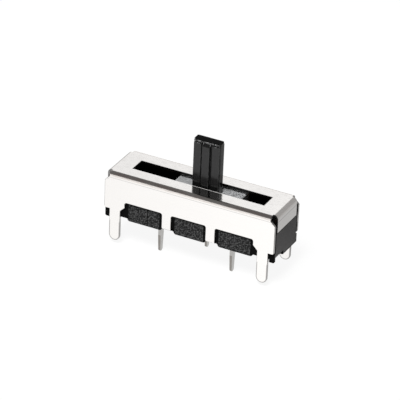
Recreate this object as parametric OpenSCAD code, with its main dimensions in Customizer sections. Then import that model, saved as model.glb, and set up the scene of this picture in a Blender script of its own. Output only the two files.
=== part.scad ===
// Slide potentiometer with a folded steel cover, 15 mm travel.
// The origin is the middle of the cover's top face. X runs along the travel, Z points out of the panel.

/* [Cover] */
// Length of the cover over its end flaps
body_l = 26; // [25:0.5:32]
// Width of the cover over its long flanges
body_w = 7.6; // [7.2:0.1:8]
// Thickness of the steel sheet
sheet_t = 0.35; // [0.25:0.05:0.4]
// Outer radius of every bend in the sheet
bend_r = 0.65; // [0.5:0.05:0.7]
// Depth of the long flanges below the top face
flange_h = 5.65; // [5.5:0.05:5.8]
// Height of the end flaps below the top face
flap_h = 2.7; // [2.5:0.1:3]
// Width of the end flaps
flap_w = 5.9; // [5.4:0.1:6.1]
// Length of the lever slot
slot_l = 20; // [19.6:0.1:21]
// Width of the lever slot
slot_w = 2.58; // [2.4:0.02:2.7]
// Depth of the top edge of the three windows in each flange
window_z = 4.15; // [4:0.05:4.4]

/* [Legs] */
// Width of a mounting leg
leg_w = 1.65; // [1.4:0.05:1.65]
// Distance from the end of the flange to a leg
leg_inset = 0.85; // [0.85:0.05:1]
// Depth of the leg tips below the top face
leg_z = 10.4; // [9.5:0.1:10.8]
// Width of a post that is folded under the base
post_w = 1.4; // [1.2:0.1:1.5]

/* [Base] */
// Depth of the seating plane, where the base stands on a circuit board
seat_z = 7.15; // [7.1:0.05:7.3]
// Length of the middle block on each side of the base
mid_block_l = 4.92; // [4.8:0.02:5]
// Length of the outer blocks on each side of the base
end_block_l = 5.37; // [5.2:0.01:5.5]
// How far the block faces stand behind the flange faces
block_recess = 0.25; // [0.2:0.05:0.3]

/* [Lever] */
// Width of the lever along the travel, over its end pads
lever_w = 4.1; // [3.8:0.1:4.2]
// Thickness of the lever over its outer pads
lever_t = 1.5; // [1.4:0.05:1.6]
// Height of the lever above the top face
lever_h = 7; // [5:0.05:12]
// How far the middle rib stands out from the pads
rib_out = 0.23; // [0.15:0.01:0.25]
// Width of the middle rib
rib_w = 1.1; // [0.9:0.05:1.2]
// Width of each groove beside the middle rib
groove_w = 0.28; // [0.2:0.02:0.34]

/* [Travel] */
// Full travel of the lever
travel = 15; // [12:0.1:15]
// Where the lever stands along the slot
lever_x = 0.8; // [-4:0.1:4]

/* [Terminals] */
// Distance of each row of terminals from the middle
row_y = 2.1; // [2:0.02:2.14]
// Place of the first end terminal along the body
term_1_x = -4.95; // [-5.1:0.05:-4.9]
// Place of the wiper terminal along the body
term_2_x = 0.1; // [-0.2:0.05:0.4]
// Place of the last end terminal along the body
term_3_x = 6.05; // [5.8:0.05:6.2]
// Depth of the terminal tips below the top face
term_z = 11; // [10.8:0.1:11.6]

/* [Hidden] */
$fn = 48;

// clearances
RUN = 0.03;
FIT = 0.02;
OVER = 1;

// cover
half_l = body_l / 2;
half_w = body_w / 2;
inner_r = bend_r - sheet_t;
in_x = half_l - sheet_t;
in_y = half_w - sheet_t;
CORNER_CUT = 0.7;
FLANGE_R = 0.3;
WINDOW_R = 0.3;
SLOT_R = 0.12;
GAP = 0.2;
TAB_REACH = 1.55;
TAB_Z = 6.65;
TAB_R = 0.45;

// places of the blocks and of the posts between them
post_x = mid_block_l / 2 + GAP + post_w / 2;
end_block_x = post_x + post_w / 2 + GAP + end_block_l / 2;
BLOCKS = [[-end_block_x, end_block_l], [0, mid_block_l], [end_block_x, end_block_l]];

// base
BASE_TOP = 0.65;
WALL_T = 0.58;
END_WALL_T = 0.8;
END_GAP = 0.05;
END_BAR_L = 1.8;
base_y = in_y - FIT;
RAIL_W = 0.3;
well_y = base_y - WALL_T;
well_x = half_l - END_WALL_T;
end_top = flap_h + END_GAP;
SKIRT_Z = 6.7;
BLOCK_DEPTH = 0.75;
BLOCK_R = 0.4;
BLOCK_EDGE = 0.28;
FOOT_L = 0.82;
FOOT_T = 0.3;
END_R = 0.25;
end_slab_w = 2 * (base_y - FOOT_T);
NOTCH_Z = 6.4;
NOTCH_L = 1.4;
NOTCH_Y0 = 0.6;
CRIMP_GAP = 0.05;
CRIMP_SIDE = 0.15;
GATE_X = -6.4;
GATE_W = 0.08;
GATE_D = 0.05;

// board, printed tracks and terminals
BOARD_Z = 3.9;
BOARD_T = 0.8;
board_floor = BOARD_Z + BOARD_T;
film_t = 0.05;
film_z = BOARD_Z - film_t;
TRACK_W = 1.2;
TRACK_Y = 0.95;
track_l = travel + 0.8;
ELECTRODE_L = 1.1;
PAD_EDGE = 0.55;
PAD_GAP = 0.1;
blade_t = 0.4;
blade_w = 0.95;
TIP_L = 2.6;
TIP_T = 0.34;
TIP_W = 0.7;
LUG_L = 2.15;
LUG_R = 0.62;
LUG_BEND_R = 0.15;
lug_z = board_floor + blade_t;
rivet_r = 0.36;
rivet_bore_r = 0.2;
HEAD_R = 0.52;
HEAD_T = 0.13;
recess_z = lug_z + HEAD_T + 0.07;
RECESS_SIDE = 0.1;
TERMINALS = [[term_1_x, -row_y, -1], [term_2_x, row_y, 1], [term_3_x, -row_y, 1]];

// slider
TOP_Z = 0.85;
CARRIAGE_Z = 2.6;
TOP_BEVEL = 0.15;
runner_z = sheet_t + RUN;
RUNNER_T = 0.4;
carriage_l = 2 * (in_x - travel / 2 - RUN);
carriage_w = 2 * (well_y - RUN);
POCKET_X = 3.9;
POCKET_L = 1.7;
POCKET_W = 3.6;
POCKET_D = 0.95;
FOOT_SLAB_L = 4.9;
FOOT_SLAB_W = 3;
FOOT_SLAB_T = 0.6;

// lever
END_PAD_OUT = 0.1;
END_PAD_W = 0.9;
PAD_OUT = 0.15;
CORE_IN = 0.1;
GROOVE_D = 0.15;
CAP_T = 0.34;
CAP_R = 0.5;
CAP_END_R = 0.28;
CAP_CROWN = 0.2;
PAD_DROP = 0.48;
pad_l = lever_w - 2 * END_PAD_OUT;
pad_w = (pad_l - rib_w - 2 * groove_w) / 2;
rib_y = lever_t / 2 + rib_out;
core_y = lever_t / 2 - PAD_OUT;
core_l = pad_l - 2 * CORE_IN;
slope_z = lever_h - PAD_DROP;
foot_top = CARRIAGE_Z - FOOT_SLAB_T;

// wiper
STRIP_T = 0.15;
STRIP_X0 = -4.4;
STRIP_X1 = -2.2;
STRIP_W = 3.6;
FINGER_W = 0.42;
FINGER_GAP = 0.14;
ROOT_L = 0.3;
CONTACT_R = 0.3;
CONTACT_GAP = 0.01;
CURL = 50;
CURL_STEPS = 10;
STUD_X = -3.6;
STUD_Y = 0.95;
STUD_R = 0.35;
STUD_HEAD_R = 0.55;
STUD_HEAD_T = 0.2;
arm_r = CONTACT_R - STRIP_T / 2;
contact_z = -film_z + CONTACT_GAP + CONTACT_R;
strip_mid_z = -CARRIAGE_Z - STRIP_T / 2;
arm_far = norm([STRIP_X1, contact_z - strip_mid_z]);
arm_angle = atan2(contact_z - strip_mid_z, -STRIP_X1) - asin(arm_r / arm_far);

// ---- shared shapes ----

// a slab between two depths below the top face, centred on x and y
module slab(l, w, z_top, z_low) {
    translate([-l / 2, -w / 2, -z_low])
        cube([l, w, z_low - z_top]);
}

// a box between two corners, the depths counted below the top face
module box(x0, x1, y0, y1, z_top, z_low) {
    translate([x0, y0, -z_low])
        cube([x1 - x0, y1 - y0, z_low - z_top]);
}

// a round rod between two depths below the top face
module rod(r, z_top, z_low) {
    translate([0, 0, -z_low])
        cylinder(r = r, h = z_low - z_top);
}

// draws children in the YZ plane, l long and centred along X
module across_x(l) {
    translate([-l / 2, 0, 0])
        rotate([90, 0, 90])
            linear_extrude(l)
                children();
}

// draws children in the XZ plane, w wide and centred along Y
module across_y(w) {
    translate([0, w / 2, 0])
        rotate([90, 0, 0])
            linear_extrude(w)
                children();
}

// a rectangle with round corners
module round_rect(l, w, r) {
    square([l - 2 * r, w], center = true);
    square([l, w - 2 * r], center = true);
    for (sx = [-1, 1], sy = [-1, 1])
        translate([sx * (l / 2 - r), sy * (w / 2 - r)])
            circle(r);
}

// the quarter of a ring that points to the left and up
module quarter_ring(r_out, r_in) {
    intersection() {
        difference() {
            circle(r_out);
            circle(r_in);
        }
        translate([-2 * r_out, 0])
            square(2 * r_out);
    }
}

// children on the near side, and again turned half round onto the far side
module both_sides() {
    for (a = [0, 180])
        rotate(a)
            children();
}

// ---- cover ----

// a leg with a full round tip
module leg_outline() {
    translate([-leg_w / 2, -leg_z + leg_w / 2])
        square([leg_w, leg_z - leg_w / 2 - window_z]);
    translate([0, -leg_z + leg_w / 2])
        circle(leg_w / 2);
}

// a window, open at the bottom and round in its top corners
module window_outline(l) {
    translate([-l / 2, -leg_z])
        square([l, leg_z - window_z - WINDOW_R]);
    translate([-l / 2 + WINDOW_R, -leg_z])
        square([l - 2 * WINDOW_R, leg_z - window_z]);
    for (s = [-1, 1])
        translate([s * (l / 2 - WINDOW_R), -window_z - WINDOW_R])
            circle(WINDOW_R);
}

// the sheet of a flange, with chamfered top corners and round bottom ones
module flange_sheet() {
    top_x = half_l - CORNER_CUT;
    low = -flange_h;
    polygon([[-top_x, -bend_r], [-half_l, -bend_r - CORNER_CUT], [-half_l, low + FLANGE_R],
        [-half_l + FLANGE_R, low], [half_l - FLANGE_R, low], [half_l, low + FLANGE_R],
        [half_l, -bend_r - CORNER_CUT], [top_x, -bend_r]]);
    for (s = [-1, 1])
        translate([s * (half_l - FLANGE_R), low + FLANGE_R])
            circle(FLANGE_R);
}

// the cut that slopes from the end of a window out to the leg beside it
module leg_flare() {
    window_end = end_block_x + end_block_l / 2 + GAP;
    leg_in = half_l - leg_inset - leg_w;
    start_z = -flange_h + leg_in - window_end;
    polygon([[window_end - GAP, start_z], [window_end, start_z], [leg_in, -flange_h],
        [leg_in, -leg_z], [window_end - GAP, -leg_z]]);
}

// a whole flange seen from its face
module flange_outline() {
    difference() {
        union() {
            flange_sheet();
            for (s = [-1, 1])
                translate([s * (half_l - leg_inset - leg_w / 2), 0])
                    leg_outline();
            for (s = [-1, 1])
                translate([s * post_x - post_w / 2, -TAB_Z + TAB_R])
                    square([post_w, TAB_Z - TAB_R - window_z]);
        }
        for (b = BLOCKS)
            translate([b[0], 0])
                window_outline(b[1] + 2 * GAP);
        for (side = [0, 1])
            mirror([side, 0])
                leg_flare();
    }
}

// the end of a post: a bend and a flat tab that grips the base from below
module folded_tab() {
    across_x(post_w) {
        translate([-half_w + TAB_R, -TAB_Z + TAB_R])
            mirror([0, 1])
                quarter_ring(TAB_R, TAB_R - sheet_t);
        translate([-half_w + TAB_R, -TAB_Z])
            square([TAB_REACH - TAB_R, sheet_t]);
    }
}

// a long flange on the near side, its bend and its two folded posts
module long_side() {
    translate([0, -half_w + sheet_t / 2, 0])
        across_y(sheet_t)
            flange_outline();
    across_x(2 * (half_l - CORNER_CUT))
        translate([-half_w + bend_r, -bend_r])
            quarter_ring(bend_r, inner_r);
    for (s = [-1, 1])
        translate([s * post_x, 0, 0])
            folded_tab();
}

// an end flap and its bend, on the left end
module end_flap() {
    across_y(flap_w) {
        translate([-half_l, -flap_h])
            square([sheet_t, flap_h - bend_r]);
        translate([-half_l + bend_r, -bend_r])
            quarter_ring(bend_r, inner_r);
    }
}

module cover() {
    color("gainsboro") {
        difference() {
            union() {
                slab(2 * (half_l - CORNER_CUT), body_w - 2 * bend_r, 0, sheet_t);
                slab(body_l - 2 * bend_r, flap_w, 0, sheet_t);
            }
            translate([0, 0, -sheet_t - OVER])
                linear_extrude(sheet_t + 2 * OVER)
                    round_rect(slot_l, slot_w, SLOT_R);
        }
        both_sides() {
            long_side();
            end_flap();
        }
    }
}

// ---- base ----

// a block with round corners and a cut edge round its outer face, which looks along -Y
module block(l, h) {
    out = -BLOCK_DEPTH / 2;
    back = BLOCK_DEPTH / 2;
    edge = BLOCK_EDGE;
    across_x(l - 2 * BLOCK_R)
        polygon([[out, edge - h / 2], [out + edge, -h / 2], [back, -h / 2], [back, h / 2],
            [out + edge, h / 2], [out, h / 2 - edge]]);
    translate([0, 0, BLOCK_R - h / 2])
        linear_extrude(h - 2 * BLOCK_R)
            polygon([[edge - l / 2, out], [-l / 2, out + edge], [-l / 2, back], [l / 2, back],
                [l / 2, out + edge], [l / 2 - edge, out]]);
    for (sx = [-1, 1], sz = [-1, 1])
        translate([sx * (l / 2 - BLOCK_R), 0, sz * (h / 2 - BLOCK_R)])
            rotate([90, 0, 0]) {
                translate([0, 0, -back])
                    cylinder(r = BLOCK_R, h = BLOCK_DEPTH - edge);
                translate([0, 0, -out - edge])
                    cylinder(r1 = BLOCK_R, r2 = BLOCK_R - edge, h = edge);
            }
}

// three blocks that fill the windows of the near flange
module block_row() {
    block_y = half_w - block_recess;
    block_h = seat_z - window_z - FIT;
    for (b = BLOCKS)
        translate([b[0], -block_y + BLOCK_DEPTH / 2, -seat_z + block_h / 2])
            block(b[1], block_h);
}

// the side view of a length l of the left end, from depth top to the seat, with its bottom corner rounded
module end_outline(l, top) {
    h = seat_z - top;
    translate([-half_l, -seat_z + END_R])
        square([l, h - END_R]);
    translate([-half_l + END_R, -seat_z])
        square([l - END_R, h]);
    translate([-half_l + END_R, -seat_z + END_R])
        circle(END_R);
}

// the left end of the base: a slab under the flap, a bar across the bottom, and a foot at each corner
module base_end() {
    across_y(end_slab_w) {
        end_outline(END_WALL_T, end_top);
        end_outline(END_BAR_L, SKIRT_Z - END_GAP);
    }
    for (s = [-1, 1])
        translate([0, s * (base_y - FOOT_T / 2), 0])
            across_y(FOOT_T)
                end_outline(FOOT_L, flange_h + END_GAP);
}

// the space for a terminal's lug and rivet, and the slot for its blade
module terminal_seat() {
    side = LUG_R + RECESS_SIDE;
    box(-blade_t / 2 - RECESS_SIDE, LUG_L + side, -side, side, board_floor - FIT, recess_z);
    slab(blade_t + 2 * FIT, blade_w + 2 * FIT, board_floor, seat_z + OVER);
}

// the recesses under the base for the folded posts of the near flange
module crimp_recesses() {
    for (s = [-1, 1])
        translate([s * post_x, 0, 0])
            box(-post_w / 2 - CRIMP_SIDE, post_w / 2 + CRIMP_SIDE, -half_w,
                -half_w + TAB_REACH + CRIMP_SIDE, TAB_Z - sheet_t - CRIMP_GAP, seat_z + OVER);
}

module base() {
    color("dimgray")
        difference() {
            union() {
                slab(2 * (in_x - END_GAP), 2 * base_y, BASE_TOP, SKIRT_Z);
                both_sides() {
                    box(-in_x + END_GAP, in_x - END_GAP, -well_y - RAIL_W, -well_y, runner_z, SKIRT_Z);
                    block_row();
                    base_end();
                }
            }
            slab(2 * well_x, 2 * well_y, BASE_TOP - OVER, board_floor);
            slab(body_l + OVER, 2 * well_y, BASE_TOP - OVER, end_top);
            both_sides() {
                crimp_recesses();
                box(-half_l - OVER, -half_l + NOTCH_L, NOTCH_Y0, end_slab_w / 2, NOTCH_Z, seat_z + OVER);
                translate([GATE_X, -half_w, 0])
                    slab(GATE_W, 2 * (block_recess + GATE_D), window_z, seat_z + OVER);
            }
            for (t = TERMINALS)
                translate([t[0], t[1], 0])
                    mirror([t[2] < 0 ? 1 : 0, 0, 0])
                        terminal_seat();
        }
}

// ---- board and tracks ----

// where a terminal's rivet stands
function rivet_at(t) = [t[0] + t[2] * LUG_L, t[1], 0];

module substrate() {
    color("peru")
        difference() {
            slab(2 * (well_x - END_GAP), 2 * (well_y - RUN), BOARD_Z, board_floor);
            for (t = TERMINALS)
                translate(rivet_at(t))
                    rod(rivet_r + FIT, BOARD_Z - OVER, board_floor + OVER);
        }
}

module resistive_track() {
    color("black")
        translate([0, -TRACK_Y, 0])
            slab(track_l, TRACK_W, film_z, BOARD_Z);
}

module collector_track() {
    rivet = rivet_at(TERMINALS[1]);
    color("silver")
        difference() {
            union() {
                translate([0, TRACK_Y, 0])
                    slab(track_l, TRACK_W, film_z, BOARD_Z);
                box(rivet[0] - PAD_EDGE, rivet[0] + PAD_EDGE, TRACK_Y, row_y + PAD_EDGE, film_z, BOARD_Z);
            }
            translate(rivet)
                rod(rivet_r + FIT, film_z - OVER, BOARD_Z + OVER);
        }
}

// the printed silver at one end of the resistive track: a bar over the end, and a pad round the rivet
module end_electrode(t) {
    rivet = rivet_at(t);
    side = sign(rivet[0]);
    far_x = track_l / 2 + ELECTRODE_L;
    low_y = -row_y - PAD_EDGE;
    color("silver")
        difference() {
            mirror([side < 0 ? 1 : 0, 0, 0])
                union() {
                    box(track_l / 2, far_x, low_y, -TRACK_Y + TRACK_W / 2, film_z, BOARD_Z);
                    box(side * rivet[0] - PAD_EDGE, far_x, low_y, -TRACK_Y - TRACK_W / 2 - PAD_GAP,
                        film_z, BOARD_Z);
                }
            translate(rivet)
                rod(rivet_r + FIT, film_z - OVER, BOARD_Z + OVER);
        }
}

module end_electrode_1() {
    end_electrode(TERMINALS[0]);
}

module end_electrode_3() {
    end_electrode(TERMINALS[2]);
}

// ---- terminals ----

// a terminal with its blade at the origin and its lug along +X
module terminal_form() {
    blade_top = lug_z + LUG_BEND_R;
    difference() {
        union() {
            translate([LUG_L, 0, 0])
                rod(LUG_R, board_floor, lug_z);
            box(blade_t / 2 + LUG_BEND_R, LUG_L, -blade_w / 2, blade_w / 2, board_floor, lug_z);
        }
        translate([LUG_L, 0, 0])
            rod(rivet_r + FIT, board_floor - OVER, lug_z + OVER);
    }
    across_y(blade_w)
        translate([blade_t / 2 + LUG_BEND_R, -blade_top])
            quarter_ring(blade_t + LUG_BEND_R, LUG_BEND_R);
    intersection() {
        across_y(blade_w)
            polygon([[-blade_t / 2, -blade_top], [-blade_t / 2, -term_z + TIP_L], [-TIP_T / 2, -term_z],
                [TIP_T / 2, -term_z], [blade_t / 2, -term_z + TIP_L], [blade_t / 2, -blade_top]]);
        across_x(blade_t)
            blade_face();
    }
}

// the broad face of a blade, narrowed to a round tip
module blade_face() {
    tip_z = -term_z + TIP_W / 2;
    polygon([[-blade_w / 2, -lug_z], [-blade_w / 2, -term_z + TIP_L], [-TIP_W / 2, tip_z],
        [TIP_W / 2, tip_z], [blade_w / 2, -term_z + TIP_L], [blade_w / 2, -lug_z]]);
    translate([0, tip_z])
        circle(TIP_W / 2);
}

module terminal(t) {
    color("lightgray")
        translate([t[0], t[1], 0])
            mirror([t[2] < 0 ? 1 : 0, 0, 0])
                terminal_form();
}

module terminal_1() {
    terminal(TERMINALS[0]);
}

module terminal_2() {
    terminal(TERMINALS[1]);
}

module terminal_3() {
    terminal(TERMINALS[2]);
}

// a hollow rivet through a lug, the board and its printed pad
module terminal_rivet(t) {
    color("goldenrod")
        translate(rivet_at(t))
            difference() {
                union() {
                    rod(rivet_r, film_z - HEAD_T, lug_z + HEAD_T);
                    rod(HEAD_R, film_z - HEAD_T, film_z);
                    rod(HEAD_R, lug_z, lug_z + HEAD_T);
                }
                rod(rivet_bore_r, film_z - OVER, lug_z + OVER);
            }
}

module terminal_rivet_1() {
    terminal_rivet(TERMINALS[0]);
}

module terminal_rivet_2() {
    terminal_rivet(TERMINALS[1]);
}

module terminal_rivet_3() {
    terminal_rivet(TERMINALS[2]);
}

// ---- slider ----

// the lever seen from above: pads and a middle rib on each face of a core, and a pad on each end
module lever_plan() {
    square([core_l, 2 * core_y], center = true);
    square([rib_w, 2 * rib_y], center = true);
    square([lever_w, END_PAD_W], center = true);
    for (s = [-1, 1])
        translate([s * (pad_l - pad_w) / 2, 0])
            square([pad_w, lever_t], center = true);
}

// the lever seen from its end: slopes run out from the core to the pads and the rib
module lever_side() {
    rib_top = slope_z - (rib_y - core_y);
    polygon([[-rib_y, -foot_top], [-rib_y, rib_top], [-core_y, slope_z], [-core_y, lever_h - CAP_T],
        [core_y, lever_h - CAP_T], [core_y, slope_z], [rib_y, rib_top], [rib_y, -foot_top]]);
}

// the smooth top of the lever, crowned from side to side and rounded off at its ends
module lever_cap() {
    half = lever_t / 2;
    crown_r = (half * half + CAP_CROWN * CAP_CROWN) / (2 * CAP_CROWN);
    intersection() {
        translate([0, 0, lever_h - CAP_T])
            linear_extrude(CAP_T)
                round_rect(lever_w, lever_t, CAP_R);
        across_x(lever_w)
            translate([0, lever_h - crown_r])
                circle(crown_r, $fn = 4 * $fn);
        across_y(lever_t)
            translate([0, lever_h - lever_w / 2])
                round_rect(lever_w, lever_w, CAP_END_R);
    }
}

module lever() {
    groove_x = (rib_w + groove_w) / 2;
    color("dimgray")
        translate([lever_x, 0, 0]) {
            difference() {
                intersection() {
                    translate([0, 0, -foot_top])
                        linear_extrude(lever_h + foot_top)
                            lever_plan();
                    across_x(lever_w)
                        lever_side();
                }
                for (sx = [-1, 1], sy = [-1, 1])
                    translate([sx * groove_x, sy * core_y, 0])
                        slab(groove_w, 2 * GROOVE_D, -slope_z, foot_top);
            }
            lever_cap();
            slab(FOOT_SLAB_L, FOOT_SLAB_W, foot_top, CARRIAGE_Z);
        }
}

// the sliding block that holds the lever, with a runner along each side and studs for the wiper
module carriage() {
    half = carriage_l / 2;
    color("silver")
        translate([lever_x, 0, 0]) {
            difference() {
                across_y(carriage_w)
                    polygon([[-half, -CARRIAGE_Z], [-half, -TOP_Z - TOP_BEVEL], [-half + TOP_BEVEL, -TOP_Z],
                        [half - TOP_BEVEL, -TOP_Z], [half, -TOP_Z - TOP_BEVEL], [half, -CARRIAGE_Z]]);
                slab(lever_w + 2 * FIT, 2 * (rib_y + FIT), TOP_Z - OVER, CARRIAGE_Z);
                slab(FOOT_SLAB_L + 2 * FIT, FOOT_SLAB_W + 2 * FIT, foot_top - FIT, CARRIAGE_Z + OVER);
                translate([POCKET_X, 0, 0])
                    slab(POCKET_L, POCKET_W, CARRIAGE_Z - POCKET_D, CARRIAGE_Z + OVER);
            }
            for (s = [-1, 1])
                translate([0, s * (carriage_w - RUNNER_T) / 2, 0])
                    slab(carriage_l, RUNNER_T, runner_z, TOP_Z + 2 * TOP_BEVEL);
            for (s = [-1, 1])
                translate([STUD_X, s * STUD_Y, 0]) {
                    rod(STUD_R, CARRIAGE_Z - FIT, CARRIAGE_Z + STRIP_T);
                    rod(STUD_HEAD_R, CARRIAGE_Z + STRIP_T, CARRIAGE_Z + STRIP_T + STUD_HEAD_T);
                }
        }
}

// the middle line of a finger: its root in the strip, a sloping arm and a curled contact
function finger_line() = concat(
    [[STRIP_X1 - ROOT_L, strip_mid_z], [STRIP_X1, strip_mid_z]],
    [for (i = [0:CURL_STEPS])
        let (a = arm_angle - 90 + i * (CURL - arm_angle) / CURL_STEPS)
            [arm_r * cos(a), contact_z + arm_r * sin(a)]]);

// a line moved sideways by d
function beside(line, d) = [for (i = [0:len(line) - 1])
    let (step = line[min(i + 1, len(line) - 1)] - line[max(i - 1, 0)])
        line[i] + d * [-step[1], step[0]] / norm(step)];

function reversed(line) = [for (i = [len(line) - 1:-1:0]) line[i]];

// one finger of the wiper, seen from its edge
module finger_outline() {
    polygon(concat(beside(finger_line(), STRIP_T / 2), reversed(beside(finger_line(), -STRIP_T / 2))));
}

// a springy strip under the carriage, with two fingers on each track
module wiper() {
    strip_l = STRIP_X1 - STRIP_X0;
    pitch = (FINGER_W + FINGER_GAP) / 2;
    color("goldenrod")
        translate([lever_x, 0, 0]) {
            difference() {
                translate([STRIP_X0 + strip_l / 2, 0, 0])
                    slab(strip_l, STRIP_W, CARRIAGE_Z, CARRIAGE_Z + STRIP_T);
                for (s = [-1, 1])
                    translate([STUD_X, s * STUD_Y, 0])
                        rod(STUD_R + FIT, CARRIAGE_Z - OVER, CARRIAGE_Z + STRIP_T + OVER);
            }
            for (side = [-1, 1], s = [-1, 1])
                translate([0, side * TRACK_Y + s * pitch, 0])
                    across_y(FINGER_W)
                        finger_outline();
        }
}

cover();
base();
substrate();
resistive_track();
collector_track();
end_electrode_1();
end_electrode_3();
terminal_1();
terminal_2();
terminal_3();
terminal_rivet_1();
terminal_rivet_2();
terminal_rivet_3();
lever();
carriage();
wiper();
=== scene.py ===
import math

import bmesh
import bpy
from bpy.props import FloatProperty, FloatVectorProperty, PointerProperty
from mathutils import Matrix, Vector
from mathutils.bvhtree import BVHTree


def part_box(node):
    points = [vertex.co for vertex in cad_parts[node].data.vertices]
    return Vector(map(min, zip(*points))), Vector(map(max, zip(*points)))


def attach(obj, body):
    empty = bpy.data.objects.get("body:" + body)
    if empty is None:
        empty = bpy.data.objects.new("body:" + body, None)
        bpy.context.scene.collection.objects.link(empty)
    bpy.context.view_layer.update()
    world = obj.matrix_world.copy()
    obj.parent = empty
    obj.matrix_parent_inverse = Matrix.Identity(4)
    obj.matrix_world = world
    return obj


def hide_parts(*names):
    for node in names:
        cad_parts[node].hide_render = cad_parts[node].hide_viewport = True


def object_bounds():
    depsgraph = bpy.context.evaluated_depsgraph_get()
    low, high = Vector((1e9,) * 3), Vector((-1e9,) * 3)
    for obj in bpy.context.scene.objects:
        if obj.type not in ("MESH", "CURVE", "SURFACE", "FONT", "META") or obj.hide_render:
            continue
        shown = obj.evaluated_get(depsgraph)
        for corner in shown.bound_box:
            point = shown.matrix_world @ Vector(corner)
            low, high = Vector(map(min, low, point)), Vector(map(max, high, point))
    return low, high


# Finishes for a slide potentiometer with 15 mm travel, and the plain stage that it stands on.
# The shared frame is in metres. Shapes are worked in millimetres and scaled once they are done.

bl_info = {
    "name": "Slide potentiometer finishes",
    "version": (1, 1, 0),
    "blender": (4, 5, 0),
    "location": "3D View > Sidebar > Slide Pot",
    "description": "Rounds and finishes the parts of a slide potentiometer, and sets a plain stage",
    "category": "Object",
}

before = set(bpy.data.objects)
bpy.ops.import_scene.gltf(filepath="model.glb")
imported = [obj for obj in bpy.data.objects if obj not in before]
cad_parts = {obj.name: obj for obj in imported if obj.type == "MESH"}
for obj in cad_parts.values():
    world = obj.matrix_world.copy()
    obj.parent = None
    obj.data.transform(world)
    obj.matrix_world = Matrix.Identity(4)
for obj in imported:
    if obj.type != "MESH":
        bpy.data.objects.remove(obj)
CAD_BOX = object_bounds()

MM = 0.001
HOUSING = "housing"
SLIDER = "slider"

# the Mix node repeats its socket names for each kind of data, so its colours are reached by place
MIX_FACTOR = 0
MIX_COLOUR_A = 6
MIX_COLOUR_B = 7
MIX_COLOUR_OUT = 2

# places on the part, in millimetres from the middle of the cover's top face
HALF_LENGTH, HALF_WIDTH, LEVER_TOP_Z = (side / MM for side in CAD_BOX[1])
SLOT_HALF_LENGTH = 10.0
SLOT_HALF_WIDTH = 1.29
FLAP_HALF_WIDTH = 2.95
LEG_X = 11.325
LEG_RADIUS = 0.825
LEG_TIP_Z = -10.4
POSTS_END_X = 4.06
POSTS_FOLD_Z = -6.65
BLOCK_FACE_Y = 3.55
SEAT_Z = -7.15

# painted shade: the carriage is painted pale above the first height and dark below the second, low in the
# slot, in millimetres
CARRIAGE_UNSHADED_Z = -1.0
CARRIAGE_SHADED_Z = -1.35

# how far a rounded vertex may stand outside its node, the least size of a face, and how near two
# places are to count as one, in millimetres
SKIN = 0.002
LEAST_FACE = 2e-4
TOUCH = 0.01

# a cut face of a sheet has more than this many thicknesses of metal behind it
CUT_DEPTH = 1.35

# the stage, in metres: the lamp, the floor, the level direction of the painted shade on the floor, and
# those of the grey corner of the walls
LAMP_TOWARD = (0.05, -0.5, 0.86)
LAMP_DISTANCE = 0.8
LAMP_SIZE = 0.35
FLOOR_HALF = 2.0
FLOOR_SHADE_WAY = (0.6, 0.8)
WALL_CORNER = (0.53, 0.848)
HIGH_CORNER = (0.5, 0.866)


def scaled(colour, by):
    return tuple(min(1.0, c * by) for c in colour)


# ---- nodes as sums ----


class Term:
    """One output of a node. Python's operators on it add Math nodes."""

    def __init__(self, tree, socket):
        self.tree = tree
        self.socket = socket

    def math(self, operation, first, second=None, clamp=False):
        inputs = {0: first}
        if second is not None:
            inputs[1] = second
        return self.tree.add("ShaderNodeMath", {"operation": operation, "use_clamp": clamp}, inputs)

    def __add__(self, other):
        return self.math("ADD", self, other)

    def __radd__(self, other):
        return self.math("ADD", other, self)

    def __sub__(self, other):
        return self.math("SUBTRACT", self, other)

    def __rsub__(self, other):
        return self.math("SUBTRACT", other, self)

    def __mul__(self, other):
        return self.math("MULTIPLY", self, other)

    def __rmul__(self, other):
        return self.math("MULTIPLY", other, self)

    def __neg__(self):
        return self.math("MULTIPLY", self, -1.0)

    def __abs__(self):
        return self.math("ABSOLUTE", self)

    def clamped(self):
        return self.math("MULTIPLY", self, 1.0, clamp=True)

    def at_most(self, limit):
        return self.math("MINIMUM", self, limit)

    def root(self):
        return self.math("SQRT", self)


class Tree:
    """Adds nodes to a node tree: a type, its settings, and the values or links of its sockets."""

    def __init__(self, node_tree):
        self.data = node_tree
        node_tree.nodes.clear()

    def node(self, kind, settings=None, inputs=None):
        node = self.data.nodes.new(kind)
        for name, value in (settings or {}).items():
            if name == "items":
                while len(node.index_switch_items) < value:
                    node.index_switch_items.new()
            else:
                setattr(node, name, value)
        for name, value in (inputs or {}).items():
            self.feed(node.inputs[name], value)
        return node

    def add(self, kind, settings=None, inputs=None, output=0):
        return Term(self, self.node(kind, settings, inputs).outputs[output])

    def feed(self, socket, value):
        if isinstance(value, Term):
            self.data.links.new(value.socket, socket)
        elif socket.type == "RGBA":
            socket.default_value = (*value[:3], 1.0)
        else:
            socket.default_value = value

    def split(self, vector):
        """The three parts of a vector."""
        parts = self.node("ShaderNodeSeparateXYZ", inputs={0: vector})
        return [Term(self, part) for part in parts.outputs]

    def smooth(self, value, low, high, start=0.0, end=1.0):
        """start where value is under low, end where it is over high, and a smooth step between."""
        return self.add(
            "ShaderNodeMapRange",
            {"interpolation_type": "SMOOTHSTEP"},
            {"Value": value, "From Min": low, "From Max": high, "To Min": start, "To Max": end},
        )

    def line(self, value, place, half):
        """1 where value is at place, and 0 where it is more than half away."""
        return self.smooth(abs(value - place), half * 0.3, half, 1.0, 0.0)


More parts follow.
